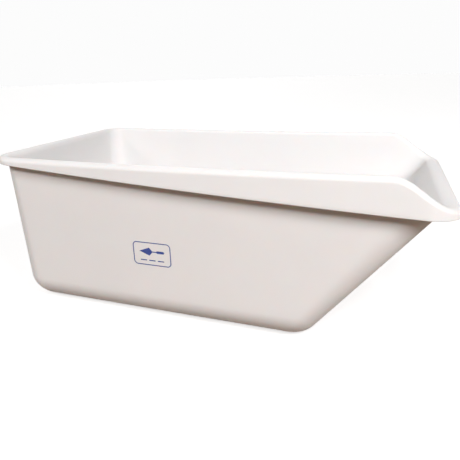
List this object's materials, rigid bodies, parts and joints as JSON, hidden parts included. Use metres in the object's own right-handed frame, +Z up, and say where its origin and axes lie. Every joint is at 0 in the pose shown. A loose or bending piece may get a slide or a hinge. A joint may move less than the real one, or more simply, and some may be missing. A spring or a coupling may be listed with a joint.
{
  "type": "mortar mixing tub",
  "caption": "Long rounded polyethylene mixing tub with a sloping pour end, a deepening downturned rim and a dipped pouring lip, with a plain printed mark on one side.",
  "frame": {"origin": "on the ground, under the middle of the tub's overall box", "axes": "+X along the tub towards the pour end, +Y across it towards the side without the printed mark, +Z up"},
  "size_m": [1.24, 0.7192, 0.4567],
  "materials": {
    "polyethylene": "satin moulded off-white high-density polyethylene",
    "ink": "flat blue printing ink"
  },
  "bodies": {
    "root": {"tub_shell": "polyethylene", "printed_mark": "ink"}
  },
  "joints": []
}
